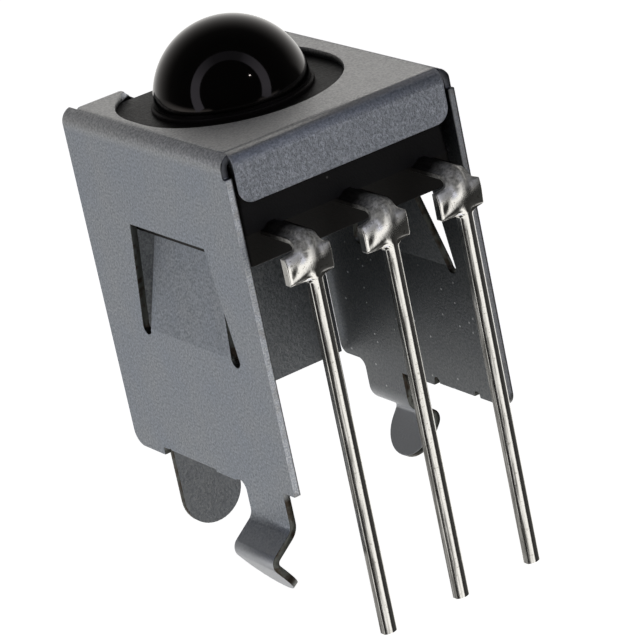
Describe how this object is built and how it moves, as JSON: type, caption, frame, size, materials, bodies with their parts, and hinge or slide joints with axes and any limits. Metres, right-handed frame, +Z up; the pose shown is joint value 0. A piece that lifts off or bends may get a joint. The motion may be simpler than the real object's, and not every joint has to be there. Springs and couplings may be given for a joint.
{
  "type": "infrared receiver module",
  "caption": "Infrared receiver: black ball-lensed moulding on bent leads, held in a folded sheet-metal shield with side windows, pressed tabs and kinked snap legs.",
  "frame": {"origin": "on the board's top surface, which the lowest edges of the shield's walls rest on, in the middle plane of the case and the leads, and level with the lens axis from front to back", "axes": "+Z up from the board and parallel to the lens axis, -Y towards the front where the leads come out, +X to the right as seen from the front"},
  "size_m": [0.0092, 0.0101, 0.0164],
  "materials": {
    "shield_sheet": "matte plated steel sheet, fine grained",
    "filter_epoxy": "black infrared-passing epoxy, polished on the lens and matte on the block",
    "tinned_strip": "bright tin on a stamped strip",
    "silicon": "polished silicon",
    "silver_paste": "cured conductive paste",
    "gold_wire": "bright drawn wire"
  },
  "bodies": {
    "root": {"shield_case": "shield_sheet", "moulded_package": "filter_epoxy", "output_lead": "tinned_strip", "ground_lead": "tinned_strip", "supply_lead": "tinned_strip", "photodiode_chip": "silicon", "receiver_ic_chip": "silicon", "photodiode_die_attach": "silver_paste", "ic_die_attach": "silver_paste", "bond_wire_photodiode": "gold_wire", "bond_wire_ground": "gold_wire", "bond_wire_output": "gold_wire", "bond_wire_supply": "gold_wire"}
  },
  "joints": []
}
